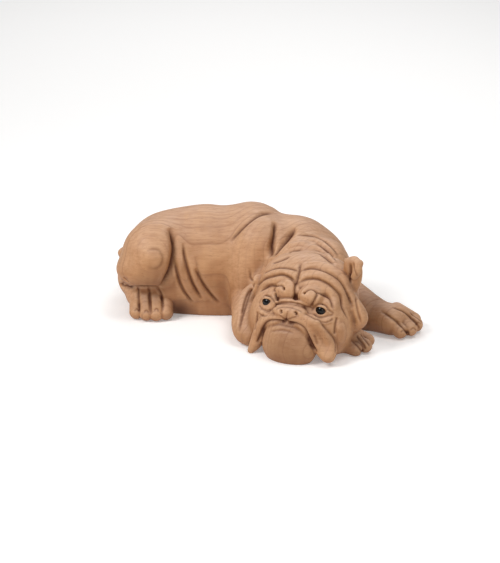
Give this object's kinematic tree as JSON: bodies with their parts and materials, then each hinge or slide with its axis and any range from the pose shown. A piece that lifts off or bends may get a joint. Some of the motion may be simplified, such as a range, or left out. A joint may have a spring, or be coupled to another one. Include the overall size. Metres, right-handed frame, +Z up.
{
  "type": "carved wooden bulldog figurine",
  "caption": "Carved wooden bulldog lying down with its chin and one foreleg on the floor, a wrinkled face and inlaid dark glass eyes.",
  "frame": {"origin": "middle of the bounding box's underside, on the surface that the carving rests on", "axes": "+X from the rump towards the stretched foreleg, -Y the side that the head lies on and faces, +Z up"},
  "size_m": [0.4998, 0.3812, 0.1766],
  "materials": {
    "carved_wood": "hand-carved suar wood, satin wax, dark-stained creases",
    "eye_glass": "polished dark brown glass bead"
  },
  "bodies": {
    "root": {"body": "carved_wood", "eye_left": "eye_glass", "eye_right": "eye_glass"}
  },
  "joints": []
}
